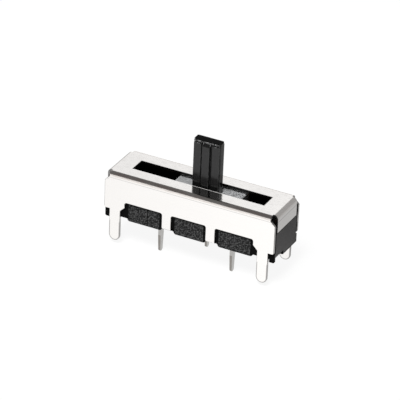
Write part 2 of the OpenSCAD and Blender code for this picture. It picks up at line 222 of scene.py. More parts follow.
class Finish(Tree):
    """A procedural material on Object coordinates, counted in millimetres."""

    def __init__(self, name):
        self.material = bpy.data.materials.new(name)
        self.material.use_nodes = True
        super().__init__(self.material.node_tree)
        self.shader = self.node("ShaderNodeBsdfPrincipled")
        self.surface = Term(self, self.shader.outputs["BSDF"])
        self.output = self.node("ShaderNodeOutputMaterial", inputs={"Surface": self.surface})
        metres = self.add("ShaderNodeTexCoord", output="Object")
        self.place = self.add(
            "ShaderNodeVectorMath", {"operation": "SCALE"}, {0: metres, "Scale": 1 / MM}
        )
        self.x, self.y, self.z = self.split(self.place)

    def mix_colour(self, mask, first, second):
        return self.add(
            "ShaderNodeMix",
            {"data_type": "RGBA"},
            {MIX_FACTOR: mask, MIX_COLOUR_A: first, MIX_COLOUR_B: second},
            MIX_COLOUR_OUT,
        )

    def noise(self, scale, detail=2.0, roughness=0.5, stretch=(1, 1, 1), shift=0.0):
        """Noise of scale cycles to the millimetre, multiplied along the axes by stretch."""
        place = self.add(
            "ShaderNodeMapping",
            inputs={"Vector": self.place, "Location": (shift, shift, shift), "Scale": stretch},
        )
        return self.add(
            "ShaderNodeTexNoise",
            inputs={"Vector": place, "Scale": scale, "Detail": detail, "Roughness": roughness},
            output="Fac",
        )

    def mark(self, name):
        """A number that the piece's own mesh carries."""
        return self.add("ShaderNodeAttribute", {"attribute_name": name}, output="Fac")

    def bump(self, height, strength, depth):
        """A normal from a height of 0 to 1 that stands for depth millimetres."""
        return self.add(
            "ShaderNodeBump", inputs={"Height": height, "Strength": strength, "Distance": depth * MM}
        )

    def add_matt(self, mask, colour):
        """Lays a surface without any shine over the shader where mask is 1."""
        matt = self.add("ShaderNodeBsdfDiffuse", inputs={"Color": colour})
        both = self.add("ShaderNodeMixShader", inputs={0: mask, 1: self.surface, 2: matt})
        self.feed(self.output.inputs["Surface"], both)

    def set(self, **values):
        for name, value in values.items():
            self.feed(self.shader.inputs[name.replace("_", " ").title().replace("Ior", "IOR")], value)
        return self.material


class Shape(Tree):
    """A Geometry Nodes tree that has named inputs for its sizes and for its finish."""

    def __init__(self, name, sizes):
        super().__init__(bpy.data.node_groups.new(name, "GeometryNodeTree"))
        sockets = {"Geometry": "NodeSocketGeometry"}
        sockets.update({size: "NodeSocketFloat" for size in sizes})
        sockets["Finish"] = "NodeSocketMaterial"
        face = self.data.interface
        self.identifiers = {
            key: face.new_socket(key, in_out="INPUT", socket_type=kind).identifier
            for key, kind in sockets.items()
        }
        face.new_socket("Geometry", in_out="OUTPUT", socket_type="NodeSocketGeometry")
        source = self.node("NodeGroupInput")
        self.given = {key: Term(self, source.outputs[key]) for key in sockets}

    def finish(self, geometry):
        """Ends the tree: instances made real, smooth faces, and the finish."""
        real = self.add("GeometryNodeRealizeInstances", inputs={"Geometry": geometry})
        smooth = self.add("GeometryNodeSetShadeSmooth", inputs={0: real})
        done = self.add(
            "GeometryNodeSetMaterial", inputs={"Geometry": smooth, "Material": self.given["Finish"]}
        )
        self.node("NodeGroupOutput", inputs={"Geometry": done})


# ---- finishes ----


def legs_outline(f):
    """The grey line that runs round each leg, where the sheet is sheared."""
    from_side = abs(f.x) - LEG_X
    from_arc = (f.z - (LEG_TIP_Z + LEG_RADIUS)).at_most(0.0)
    from_middle = (from_side * from_side + from_arc * from_arc).root()
    return f.smooth(from_middle, 0.64, 0.74) * f.smooth(f.z, SEAT_Z - 0.45, SEAT_Z - 0.05, 1.0, 0.0)


def ends_outline(f, cut):
    """The grey lines at the ends of the flanges and over the left end of the plate."""
    flange = f.smooth(abs(f.x), HALF_LENGTH - 0.12, HALF_LENGTH - 0.05)
    flange = flange * f.smooth(abs(f.y), HALF_WIDTH - 0.3, HALF_WIDTH - 0.2) * (1 - cut) * 0.6
    left_end = f.smooth(-f.x, HALF_LENGTH - 0.52, HALF_LENGTH - 0.4) * f.smooth(f.z, -0.45, -0.3)
    return flange + left_end


def posts_outline(f):
    """The grey line at the foot of the posts. It stops short of their outer sides."""
    below = POSTS_FOLD_Z - f.z
    fold = f.smooth(below, -0.25, -0.15) * (1 - f.smooth(below, 0.25, 0.45))
    return fold * (1 - f.smooth(abs(f.x), POSTS_END_X - 0.46, POSTS_END_X - 0.26))


def plated_steel(look):
    """Nickel plate on rolled sheet: lines along the roll, drawn streaks on the bends, dull cut edges,
    painted shade at the slot and the flap sides, a painted highlight on the slot's near edge, and a
    painted gradient of light from left to right.
    """
    f = Finish("nickel_steel")
    side_bend = f.smooth(abs(f.y), HALF_WIDTH - 0.68, HALF_WIDTH - 0.56) * f.smooth(f.z, -0.66, -0.5)
    end_face = f.smooth(abs(f.x), HALF_LENGTH - 0.68, HALF_LENGTH - 0.5)
    end_bend = end_face * f.smooth(f.z, -0.66, -0.5)
    along = f.noise(1.0, 4.0, 0.6, (0.35, 14, 14))
    across = f.noise(1.0, 4.0, 0.6, (14, 0.35, 14), shift=3)
    lines = along * (1 - end_face) + across * end_face
    streaks = f.noise(1.0, 3.0, 0.65, (0.9, 16, 16), shift=11)
    grain = f.noise(9, 3.0, 0.6)
    haze = f.noise(0.28, 3.0, 0.55, (0.6, 1, 1), shift=7)
    spots = f.smooth(f.noise(2.4, 4.0, 0.7, shift=15), 0.62, 0.72)
    cut = f.mark("cut")
    rim = f.mark("rim") * f.smooth(f.noise(1.6, 2.0, shift=5), 0.3, 0.6, 0.35, 1.0)
    die_line = end_face * f.line(f.z, -1.02, 0.07)
    fold_line = f.smooth(abs(f.y), HALF_WIDTH - 0.1, HALF_WIDTH - 0.05) * f.line(f.z, -0.78, 0.06)
    # the f.x term is a painted gradient of light: the plate gets lighter towards the right
    shade = ((lines - 0.5) * look.line_depth + (haze - 0.5) * 0.2 + f.x * 0.02 + 0.55).clamped()
    plate = f.mix_colour(shade, scaled(look.colour, 0.86), look.colour)
    top = f.smooth(f.z, -0.06, -0.02)
    mottle = f.smooth(f.noise(2.4, 3.0, 0.65, (0.6, 1, 1), shift=31), 0.46, 0.68)
    plate = f.mix_colour(top * mottle * 0.16, plate, look.edge_colour)
    bends = (side_bend + end_bend * 0.5).clamped()
    drawn = (bends * f.smooth(streaks, 0.4, 0.66)).clamped()
    tarnish = f.smooth(f.noise(0.35, 3.0, 0.6, (1, 2, 2), shift=21), 0.4, 0.6)
    plate = f.mix_colour(bends * 0.5, plate, look.bend_colour)
    mid_bend = f.smooth(abs(f.y), HALF_WIDTH - 0.42, HALF_WIDTH - 0.35) * f.smooth(f.z, -0.34, -0.24)
    plate = f.mix_colour(mid_bend * tarnish * 0.8, plate, look.tarnish_colour)
    plate = f.mix_colour(drawn * 0.6, plate, scaled(look.bend_colour, 0.66))
    marks = (die_line * 0.7 + fold_line * 0.6 + spots * 0.1).clamped()
    plate = f.mix_colour(marks, plate, look.edge_colour)
    # the cut faces on the far half of the right end are made lighter
    lighter_far_cut = f.smooth(f.x, HALF_LENGTH - 0.1, HALF_LENGTH - 0.02) * f.smooth(f.y, 0, 1) * 0.6
    plate = f.mix_colour(cut * (0.85 - lighter_far_cut), plate, look.edge_colour)
    plate = f.mix_colour((rim * 0.9).clamped(), plate, scaled(look.edge_colour, 0.42))
    outline = legs_outline(f) + ends_outline(f, cut) + posts_outline(f)
    plate = f.mix_colour((outline * 0.9).clamped(), plate, scaled(look.edge_colour, 0.75))
    # painted shade: the edges round the slot are made near black
    slot = 1 - f.smooth(abs(f.y), SLOT_HALF_WIDTH + 0.04, SLOT_HALF_WIDTH + 0.11)
    slot = slot * (1 - f.smooth(abs(f.x), SLOT_HALF_LENGTH + 0.06, SLOT_HALF_LENGTH + 0.12))
    # the sides of the end flaps get a painted shade, and half as much on the left
    flap_side_shade = cut * f.smooth(abs(f.x), HALF_LENGTH - 0.8, HALF_LENGTH - 0.65)
    flap_side_shade = flap_side_shade * (1 - f.smooth(abs(f.y), FLAP_HALF_WIDTH + 0.05, FLAP_HALF_WIDTH + 0.15))
    flap_side_shade = flap_side_shade * f.smooth(f.x, -1, 1, 0.5, 1.0)
    plate = f.mix_colour(((slot + flap_side_shade) * 0.96).clamped(), plate, look.slot_shade_colour)
    # a painted highlight along the near edge of the slot, where the sheet catches the light
    burr_highlight = 1 - f.smooth(abs(f.y + (SLOT_HALF_WIDTH + 0.07)), 0.05, 0.08)
    burr_highlight = burr_highlight * f.smooth(f.z, -0.1, -0.05)
    burr_highlight = burr_highlight * (1 - f.smooth(abs(f.x), SLOT_HALF_LENGTH - 0.1, SLOT_HALF_LENGTH))
    plate = f.mix_colour(burr_highlight, plate, scaled(look.colour, 0.75))
    rough = look.roughness + (haze - 0.5) * 0.09 + (lines - 0.5) * 0.08 + cut * 0.2 + bends * 0.06
    height = lines * 0.6 + grain * 0.25 + streaks * bends * 1.4 - die_line * 0.8 - fold_line * 0.3
    return f.set(
        base_color=plate,
        metallic=1 - burr_highlight * 0.8,
        roughness=rough.clamped(),
        normal=f.bump(height, look.bump, 0.004),
    )


def eroded_moulding(look):
    """Black moulding: the pitted grain of a spark-eroded tool on the blocks with painted glints on its
    high points, smooth elsewhere, and edges painted lighter in dashes for wear and a painted highlight.
    """
    f = Finish("black_moulding")
    block = f.smooth(abs(f.y), BLOCK_FACE_Y - 0.025, BLOCK_FACE_Y - 0.005)
    end = f.smooth(abs(f.x), HALF_LENGTH - 0.1, HALF_LENGTH - 0.03)
    end = end * (1 - f.smooth(abs(f.y), BLOCK_FACE_Y - 0.25, BLOCK_FACE_Y - 0.15))
    end = end * f.smooth(f.z, SEAT_Z + 0.2, SEAT_Z + 0.35)
    pits = f.noise(look.grain_scale, 0.0, 0.5)
    grit = f.noise(look.grain_scale * 2.2, 2.0, 0.5, shift=4)
    patch = f.noise(0.5, 3.0, 0.55, shift=9)
    rim = f.mark("rim") * f.smooth(f.noise(2.3, 2.0, shift=2), 0.4, 0.62)
    # painted glints: the high points of the real grain are painted pale
    painted_sparkle = f.smooth(pits, 0.48, 0.68)
    shade = (block * (painted_sparkle + (patch - 0.5) * 0.2) + 0.03).clamped()
    colour = f.mix_colour(shade, look.colour, look.grain_and_glint_colour)
    colour = f.mix_colour((end * (0.85 + (patch - 0.5) * 0.5)).clamped(), colour, look.end_colour)
    # the rounded edges are painted lighter in dashes: partly wear, partly a painted highlight
    colour = f.mix_colour(rim * 0.25, colour, look.worn_and_glint_colour)
    rough = look.roughness + block * 0.1 + (grit - 0.5) * 0.12 + (patch - 0.5) * 0.1
    height = pits * (block * 0.9 + 0.06) + grit * (block * 0.3 + 0.03)
    f.add_matt((1 - block) * (1 - end) * 0.85, look.colour)
    return f.set(
        base_color=colour,
        roughness=rough.clamped(),
        normal=f.bump(height, look.bump, 0.05),
        specular_ior_level=0.13,
    )


def lever_moulding(look):
    """Glossy black moulding with faint flow lines, and a painted highlight in dashes along its rounded
    edges, strongest at the top.
    """
    f = Finish("lever_moulding")
    grain = f.noise(11, 3.0, 0.6)
    flow = f.noise(1.0, 3.0, 0.55, (5, 5, 0.5), shift=6)
    patch = f.noise(1.1, 3.0, 0.6, shift=1)
    # painted highlight: pale dashes on the rounded edges, strongest near the top
    top = f.smooth(f.z, LEVER_TOP_Z - 0.8, LEVER_TOP_Z - 0.55)
    dashes = f.smooth(f.noise(3.4, 2.0, 0.6, (1, 0.4, 0.4), shift=8), 0.44, 0.6)
    rim = f.mark("rim") * dashes
    shade = (0.4 + (patch - 0.5) * 0.9 + (flow - 0.5) * 0.6).clamped()
    body = f.mix_colour(shade, scaled(look.lever_colour, 0.6), scaled(look.lever_colour, 1.6))
    body = f.mix_colour((rim * (0.1 + top * 0.75)).clamped(), body, look.lever_edge_highlight)
    crown = f.smooth(f.z, LEVER_TOP_Z - 0.22, LEVER_TOP_Z - 0.16)
    rough = look.lever_roughness + (grain - 0.5) * 0.12 + (flow - 0.5) * 0.1 + crown * 0.7
    f.add_matt(crown * 0.6, scaled(look.lever_colour, 0.6))
    return f.set(
        base_color=body,
        roughness=rough.clamped(),
        normal=f.bump(grain * 0.5 + flow * 0.3 + patch * 0.5, 0.4, 0.006),
        specular_ior_level=0.42,
    )


def carriage_moulding(look):
    """Pale grey filled moulding with a mottled skin, painted shade low in the slot, and painted
    highlights on its rounded edges.
    """
    f = Finish("carriage_moulding")
    fleck = f.noise(5.0, 2.0, 0.6)
    flow = f.noise(1.0, 3.0, 0.55, (0.5, 4, 4), shift=6)
    patch = f.noise(1.3, 3.0, 0.6, shift=1)
    rim = f.mark("rim")
    shade = (f.smooth(fleck, 0.4, 0.6) * 0.8 + (flow - 0.5) * 0.5 + (patch - 0.5) * 0.6 + 0.15).clamped()
    # the left part of the skin is smoother
    mottled = f.smooth(f.x, -1, 1.5, 0.35, 1.0)
    shade = shade * mottled + (1 - mottled) * 0.5
    body = f.mix_colour(shade, scaled(look.carriage_colour, 0.3), scaled(look.carriage_colour, 1.3))
    # painted shade low in the slot
    deep_shade = f.smooth(f.z, CARRIAGE_SHADED_Z, CARRIAGE_UNSHADED_Z, 0.85, 0.0)
    body = f.mix_colour(deep_shade, body, scaled(look.carriage_colour, 0.12))
    # painted highlight: the rounded edges are painted lighter
    body = f.mix_colour(rim * 0.4, body, scaled(look.carriage_colour, 1.4))
    rough = look.carriage_roughness + (fleck - 0.5) * 0.2
    return f.set(
        base_color=body,
        roughness=rough.clamped(),
        normal=f.bump(fleck * 0.8 + flow * 0.2, 0.4, 0.01),
    )


def laminate(look):
    """Paper laminate: fibre flecks on its faces and layers on its cut edges."""
    f = Finish("phenolic_board")
    fibre = f.noise(1.0, 4.0, 0.65, (2.5, 9, 6))
    layers = f.noise(1.0, 2.0, 0.5, (0.4, 0.4, 16), shift=3)
    patch = f.noise(0.4, 2.0, shift=5)
    shade = (fibre * 0.5 + layers * 0.25 + patch * 0.25).clamped()
    return f.set(
        base_color=f.mix_colour(shade, scaled(look.board_colour, 0.55), look.board_colour),
        roughness=(0.42 + (fibre - 0.5) * 0.2).clamped(),
        normal=f.bump(fibre, 0.3, 0.01),
    )


def carbon_print(look):
    """Matt printed carbon, polished in two lines where the wiper runs."""
    f = Finish("carbon_film")
    grain = f.noise(14, 3.0, 0.7)
    polish = f.line(abs(f.y + look.track_y / MM), 0.28, 0.24)
    shade = (grain * 0.6 + polish * 0.3).clamped()
    return f.set(
        base_color=f.mix_colour(shade, scaled(look.carbon_colour, 0.25), look.carbon_colour),
        roughness=(0.62 - polish * 0.22 + (grain - 0.5) * 0.2).clamped(),
        normal=f.bump(grain, 0.3, 0.006),
    )


def silver_print(look):
    """Printed silver with the faint mesh of the screen in it."""
    f = Finish("silver_film")
    mesh_x = f.noise(1.0, 1.0, 0.5, (11, 0.3, 0.3))
    mesh_y = f.noise(1.0, 1.0, 0.5, (0.3, 11, 0.3), shift=2)
    patch = f.noise(0.9, 3.0, 0.6, shift=4)
    shade = (0.3 + patch * 0.5 + (mesh_x + mesh_y - 1) * 0.3).clamped()
    return f.set(
        base_color=f.mix_colour(shade, scaled(look.silver_colour, 0.7), look.silver_colour),
        metallic=0.85,
        roughness=(0.44 + (patch - 0.5) * 0.2).clamped(),
        normal=f.bump(mesh_x * 0.5 + mesh_y * 0.5, 0.4, 0.006),
    )


def tinned_strip(look):
    """Bright tin on strip, with brown bare metal on the cut sides and drag lines down the blades."""
    f = Finish("tinned_brass")
    drag = f.noise(1.0, 3.0, 0.6, (12, 12, 0.4))
    patch = f.noise(0.8, 3.0, 0.6, shift=3)
    cut = f.mark("cut")
    tin = f.mix_colour((0.5 + (drag - 0.5) * 0.8).clamped(), scaled(look.colour, 0.82), look.colour)
    bare = (cut * (0.6 + (patch - 0.5) * 0.5)).clamped()
    return f.set(
        base_color=f.mix_colour(bare, tin, look.cut_colour),
        metallic=1.0,
        roughness=(0.24 + (patch - 0.5) * 0.16 + cut * 0.12).clamped(),
        normal=f.bump(drag, 0.4, 0.005),
    )


def copper_alloy(name, colour, stretch, roughness):
    """Rolled copper alloy with a light tarnish and lines along the strip."""
    f = Finish(name)
    lines = f.noise(1.0, 3.0, 0.6, stretch)
    tarnish = f.noise(1.4, 3.0, 0.6, shift=5)
    shade = (0.5 + (lines - 0.5) * 0.5 + (tarnish - 0.5) * 0.8).clamped()
    return f.set(
        base_color=f.mix_colour(shade, scaled(colour, 0.62), colour),
        metallic=1.0,
        roughness=(roughness + (tarnish - 0.5) * 0.25).clamped(),
        normal=f.bump(lines, 0.35, 0.004),
    )


# ---- shapes ----


def millimetre_copy(node):
    """A node's mesh in millimetres, with its loose triangles joined and its flat faces made whole."""
    mesh = bmesh.new()
    mesh.from_mesh(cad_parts[node].data)
    bmesh.ops.scale(mesh, vec=(1 / MM,) * 3, verts=mesh.verts)
    bmesh.ops.remove_doubles(mesh, verts=mesh.verts, dist=LEAST_FACE)
    bmesh.ops.dissolve_limit(mesh, angle_limit=math.radians(1), verts=mesh.verts, edges=mesh.edges)
    return mesh


def mark_cut_faces(mesh, thickness):
    """Marks the narrow faces of a sheet part: those with more than its thickness of metal behind them."""
    layer = mesh.faces.layers.float.new("cut")
    tree = BVHTree.FromBMesh(mesh)
    for face in mesh.faces:
        start = face.calc_center_median() - face.normal * TOUCH
        hit = tree.ray_cast(start, -face.normal)
        face[layer] = float(hit[3] is not None and hit[3] > CUT_DEPTH * thickness)


def choose_sharp_edges(mesh, share, widest=None, least=28):
    """Chooses the edges sharper than least degrees to be rounded: by share, or fully where widest."""
    weight = mesh.edges.layers.float.new("bevel_weight_edge")
    for edge in mesh.edges:
        if len(edge.link_faces) == 2 and edge.calc_face_angle(0) > math.radians(least):
            edge[weight] = 1.0 if widest and widest(edge) else share


def runner_end_test():
    """A test for the carriage's edges that lie across the top of a runner's end."""
    low, high = (Vector(corner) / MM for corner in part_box("carriage"))

    def at_end(place):
        return place.x < low.x + TOUCH or place.x > high.x - TOUCH

    def at_runner_end(edge):
        places = [vertex.co for vertex in edge.verts]
        return all(place.z > high.z - TOUCH and at_end(place) for place in places)

    return at_runner_end


def evaluated_mesh(work, name):
    """The plain mesh that an object's modifiers give, in metres. The object is removed."""
    graph = bpy.context.evaluated_depsgraph_get()
    done = bpy.data.meshes.new_from_object(
        work.evaluated_get(graph), preserve_all_data_layers=True, depsgraph=graph
    )
    bpy.data.objects.remove(work)
    done.transform(Matrix.Scale(MM, 4))
    done.name = name
    return done


def work_object(name, mesh_data):
    work = bpy.data.objects.new(name, mesh_data)
    bpy.context.scene.collection.objects.link(work)
    return work


def put_in_scene(name, mesh_data, body, replaced, finish):
    """Makes a finished mesh a piece: its material, its body, and the nodes that it stands for."""
    piece = work_object(name, mesh_data)
    mesh_data.materials.clear()
    mesh_data.materials.append(finish)
    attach(piece, body)
    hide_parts(*replaced)


def mark_rims(mesh_data):
    """Marks the faces that the rounding made, and puts every face back on the one material."""
    faces = mesh_data.polygons
    rim = mesh_data.attributes.new("rim", "FLOAT", "FACE")
    rim.data.foreach_set("value", [float(face.material_index) for face in faces])
    faces.foreach_set("material_index", [0] * len(faces))


def keep_on_node(mesh_data, surface, edge):
    """Puts back on the node's surface each vertex that the rounding left outside it or far behind it.

    A face that this leaves without any area is taken out, so that the mesh stays closed."""
    mesh = bmesh.new()
    mesh.from_mesh(mesh_data)
    for vertex in mesh.verts:
        place = vertex.co / MM
        near, normal, _, far = surface.find_nearest(place)
        if far > edge or (place - near).dot(normal) > SKIN:
            vertex.co = near * MM
    bmesh.ops.dissolve_degenerate(mesh, dist=LEAST_FACE * MM, edges=mesh.edges)
    mesh.to_mesh(mesh_data)
    mesh.free()


def rounded_piece(node, body, finish, edge, cut=None, share=1.0, widest=None):
    """A copy of a node with rounded edges and smooth shading, in place of the node."""
    mesh = millimetre_copy(node)
    surface = BVHTree.FromBMesh(mesh)
    if cut:
        mark_cut_faces(mesh, cut / MM)
    choose_sharp_edges(mesh, share, widest)
    rough = bpy.data.meshes.new(node)
    mesh.to_mesh(rough)
    mesh.free()
    rough.shade_smooth()
    rough.materials.append(None)
    rough.materials.append(None)
    work = work_object(node, rough)
    bevel = work.modifiers.new("round", "BEVEL")
    bevel.width = edge / MM
    bevel.segments = 2
    bevel.limit_method = "WEIGHT"
    bevel.use_clamp_overlap = False
    bevel.material = 1
    weigh = work.modifiers.new("weigh", "WEIGHTED_NORMAL")
    weigh.weight = 100
    name = node + "_rounded"
    done = evaluated_mesh(work, name)
    keep_on_node(done, surface, edge / MM)
    mark_rims(done)
    put_in_scene(name, done, body, [node], finish)


def rivet_shape():
    """The tree for hollow rivets: a section with two heads, turned round an axis at each point."""
    shape = Shape(
        "hollow_rivet",
        ["Shank Radius", "Bore Radius", "Head Radius", "Head Height", "Height", "Edge"],
    )
    shank, bore, head = (shape.given[f"{part} Radius"] for part in ("Shank", "Bore", "Head"))
    half = shape.given["Height"] * 0.5
    inner = half - shape.given["Head Height"]
    section = [
        (bore, -half), (head, -half), (head, -inner), (shank, -inner),
        (shank, inner), (head, inner), (head, half), (bore, half),
    ]
    corners = [
        shape.add("ShaderNodeCombineXYZ", inputs={0: shank - radius, 1: height})
        for radius, height in section
    ]
    choice = shape.add(
        "GeometryNodeIndexSwitch",
        {"data_type": "VECTOR", "items": len(corners)},
        {0: shape.add("GeometryNodeInputIndex"), **dict(enumerate(corners, 1))},
    )
    chain = shape.add("GeometryNodeMeshLine", inputs={"Count": len(corners)})
    placed = shape.add("GeometryNodeSetPosition", inputs={"Geometry": chain, "Position": choice})
    curve = shape.add("GeometryNodeMeshToCurve", inputs={0: placed})
    closed = shape.add("GeometryNodeSetSplineCyclic", inputs={0: curve, "Cyclic": True})
    eased = shape.add(
        "GeometryNodeFilletCurve",
        {"mode": "POLY"},
        {"Curve": closed, "Count": 3, "Radius": shape.given["Edge"], "Limit Radius": True},
    )
    ring = shape.add("GeometryNodeCurvePrimitiveCircle", inputs={"Resolution": 40, "Radius": shank})
    turned = shape.add("GeometryNodeCurveToMesh", inputs={"Curve": ring, "Profile Curve": eased})
    shape.finish(
        shape.add(
            "GeometryNodeInstanceOnPoints", inputs={"Points": shape.given["Geometry"], "Instance": turned}
        )
    )
    return shape


def rivets_in_place(nodes, look, finish):
    """One mesh with a hollow rivet at the place of each node."""
    boxes = [[Vector(corner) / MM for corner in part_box(node)] for node in nodes]
    low, high = boxes[0]
    points = bpy.data.meshes.new("rivet_places")
    points.from_pydata([(low + high) / 2 for low, high in boxes], [], [])
    work = work_object("rivets", points)
    shape = rivet_shape()
    modifier = work.modifiers.new("rivets", "NODES")
    modifier.node_group = shape.data
    sizes = {
        "Shank Radius": look.shank / MM,
        "Bore Radius": look.bore / MM,
        "Head Radius": (high.x - low.x) / 2,
        "Head Height": look.head_height / MM,
        "Height": high.z - low.z,
        "Edge": look.edge / MM,
        "Finish": finish,
    }
    for name, value in sizes.items():
        modifier[shape.identifiers[name]] = value
    done = evaluated_mesh(work, "terminal_rivets_round")
    outward = bmesh.new()
    outward.from_mesh(done)
    bmesh.ops.recalc_face_normals(outward, faces=outward.faces)
    outward.to_mesh(done)
    outward.free()
    return done


# ---- settings ----


def tint(name, description, default):
    return FloatVectorProperty(
        name=name, description=description, subtype="COLOR", default=default, min=0, max=1
    )


def share(name, description, default):
    return FloatProperty(
        name=name, description=description, subtype="FACTOR", default=default, min=0, max=1
    )


def length(name, description, millimetres):
    return FloatProperty(
        name=name, description=description, subtype="DISTANCE", default=millimetres * MM, precision=5
    )


def angle(name, description, degrees):
    return FloatProperty(
        name=name, description=description, subtype="ANGLE", default=math.radians(degrees)
    )


class CoverLook(bpy.types.PropertyGroup):
    colour: tint("Plate", "Colour of the nickel plate", (0.978, 0.957, 0.937))
    bend_colour: tint("Bends", "Colour of the plate where it is drawn over a bend", (0.84, 0.77, 0.72))
    tarnish_colour: tint("Tarnish", "Colour of the tarnish on the long bends", (0.74, 0.60, 0.57))
    # painted shade: the near black given to the slot's edges and to the sides of the end flaps
    slot_shade_colour: tint("Slot edge", "Colour of the shaded edges of the slot", (0.02, 0.02, 0.02))
    edge_colour: tint("Cut edge", "Colour of the sheared edges of the sheet", (0.42, 0.41, 0.40))
    roughness: share("Roughness", "Mean roughness of the plate", 0.15)
    line_depth: share("Rolling lines", "How far the rolling lines show", 0.5)
    bump: share("Bump", "Strength of the relief on the plate", 0.3)
    edge: length("Edge", "Rounding of the sheared edges", 0.055)
    sheet: length("Sheet", "Thickness of the sheet", 0.35)


class BaseLook(bpy.types.PropertyGroup):
    colour: tint("Moulding", "Colour of the moulding", (0.003, 0.003, 0.003))
    # grain with painted glints: the colour of its high points
    grain_and_glint_colour: tint("Grain", "Colour of the high points of the grain", (0.056, 0.056, 0.0565))
    end_colour: tint("Ends", "Colour of the end faces", (0.052, 0.05, 0.05))
    # wear and painted highlight on the rounded edges
    worn_and_glint_colour: tint("Worn edge", "Colour of rubbed edges", (0.08, 0.08, 0.08))
    roughness: share("Roughness", "Roughness of the smooth faces", 0.45)
    bump: share("Bump", "Strength of the pitted grain", 0.7)
    grain_scale: FloatProperty(name="Grain scale", description="Pits to the millimetre", default=6.4)
    edge: length("Edge", "Rounding of the edges", 0.035)


class SliderLook(bpy.types.PropertyGroup):
    lever_colour: tint("Lever", "Colour of the lever", (0.006, 0.006, 0.006))
    # painted highlight on the lever's rounded edges
    lever_edge_highlight: tint("Lever's worn edge", "Colour of the rubbed edges of the lever", (0.30, 0.30, 0.30))
    lever_roughness: share("Lever roughness", "Roughness of the lever", 0.19)
    carriage_colour: tint("Carriage", "Colour of the carriage", (0.375, 0.38, 0.385))
    carriage_roughness: share("Carriage roughness", "Roughness of the carriage", 0.4)
    runner_end: length("Runner end", "Rounding of the runners' ends", 0.22)
    edge: length("Edge", "Rounding of the edges", 0.035)


class BoardLook(bpy.types.PropertyGroup):
    board_colour: tint("Board", "Colour of the laminate", (0.22, 0.125, 0.06))
    carbon_colour: tint("Carbon", "Colour of the printed carbon", (0.035, 0.035, 0.037))
    silver_colour: tint("Silver", "Colour of the printed silver", (0.74, 0.74, 0.73))
    track_y: length("Track", "Distance of the carbon track from the middle", 0.95)


class TerminalLook(bpy.types.PropertyGroup):
    colour: tint("Tin", "Colour of the tin plate", (0.46, 0.45, 0.435))
    cut_colour: tint("Cut side", "Colour of the bare cut sides", (0.19, 0.17, 0.15))
    edge: length("Edge", "Rounding of the edges", 0.03)
    strip: length("Strip", "Thickness of the blades", 0.4)


class RivetLook(bpy.types.PropertyGroup):
    colour: tint("Brass", "Colour of the rivets", (0.76, 0.60, 0.32))
    shank: length("Shank", "Radius of a rivet's shank", 0.36)
    bore: length("Bore", "Radius of a rivet's bore", 0.2)
    head_height: length("Head height", "Height of a rivet's head", 0.13)
    edge: length("Edge", "Rounding of the edges", 0.045)


class WiperLook(bpy.types.PropertyGroup):
    colour: tint("Bronze", "Colour of the wiper", (0.74, 0.50, 0.30))


class StageLook(bpy.types.PropertyGroup):
    azimuth: angle("Azimuth", "Camera's angle round the part", 26.033)
    elevation: angle("Elevation", "Camera's angle above the floor", 29.083)
    roll: angle("Roll", "Turn of the camera about its own axis", 2.438)
    distance: length("Distance", "Camera's distance", 442.523)
    aim_right: length("Aim right", "Aim to the right of the origin", -0.297)
    aim_up: length("Aim up", "Aim above the origin", -2.338)
    lens: FloatProperty(
        name="Lens",
        description="Focal length on a 36 mm sensor",
        subtype="DISTANCE_CAMERA",
        default=292.47,
    )
    key: FloatProperty(name="Key", description="Power of the key lamp", unit="POWER", default=7.4)
    walls: share("Walls", "Brightness of the pale walls", 1.0)
    corner: share("Corner", "Brightness of the grey corner behind the right end", 0.37)
    ceiling: share("Ceiling", "Brightness of the ceiling", 0.14)
    floor_colour: tint("Floor", "Colour of the floor", (0.96, 0.96, 0.955))
    floor_shine: FloatProperty(
        name="Floor shine", description="Level of the floor seen in the plate", default=1.06
    )


LOOKS = {
    "cover": CoverLook,
    "base": BaseLook,
    "slider": SliderLook,
    "board": BoardLook,
    "terminals": TerminalLook,
    "rivets": RivetLook,
    "wiper": WiperLook,
    "stage": StageLook,
}


class PotSettings(bpy.types.PropertyGroup):
    __annotations__ = {name: PointerProperty(type=look) for name, look in LOOKS.items()}


# ---- operators ----


class POT_OT_camera(bpy.types.Operator):
    """Sets up the camera"""

    bl_idname = "pot.camera"
    bl_label = "Camera"

    def execute(self, context):
        look = context.scene.pot.stage
        az, el, roll = look.azimuth, look.elevation, look.roll
        back = Vector((math.sin(az) * math.cos(el), -math.cos(az) * math.cos(el), math.sin(el)))
        level = Vector((math.cos(az), math.sin(az), 0))
        above = back.cross(level)
        right = math.cos(roll) * level + math.sin(roll) * above
        up = -math.sin(roll) * level + math.cos(roll) * above
        data = bpy.data.cameras.new("camera")
        data.lens = look.lens
        data.sensor_width = 36
        data.clip_start = 0.01
        data.clip_end = 20
        camera = work_object("camera", data)
        place = back * look.distance + right * look.aim_right + up * look.aim_up
        camera.matrix_world = Matrix(
            [(right[i], up[i], back[i], place[i]) for i in range(3)] + [(0, 0, 0, 1)]
        )
        context.scene.camera = camera
        return {"FINISHED"}


class POT_OT_cover(bpy.types.Operator):
    """Rounds and plates the folded cover"""

    bl_idname = "pot.cover"
    bl_label = "Cover"

    def execute(self, context):
        look = context.scene.pot.cover
        rounded_piece("cover", HOUSING, plated_steel(look), look.edge, cut=look.sheet)
        return {"FINISHED"}


class POT_OT_base(bpy.types.Operator):
    """Rounds the moulded base and gives it its grain"""

    bl_idname = "pot.base"
    bl_label = "Base"

    def execute(self, context):
        look = context.scene.pot.base
        rounded_piece("base", HOUSING, eroded_moulding(look), look.edge)
        return {"FINISHED"}


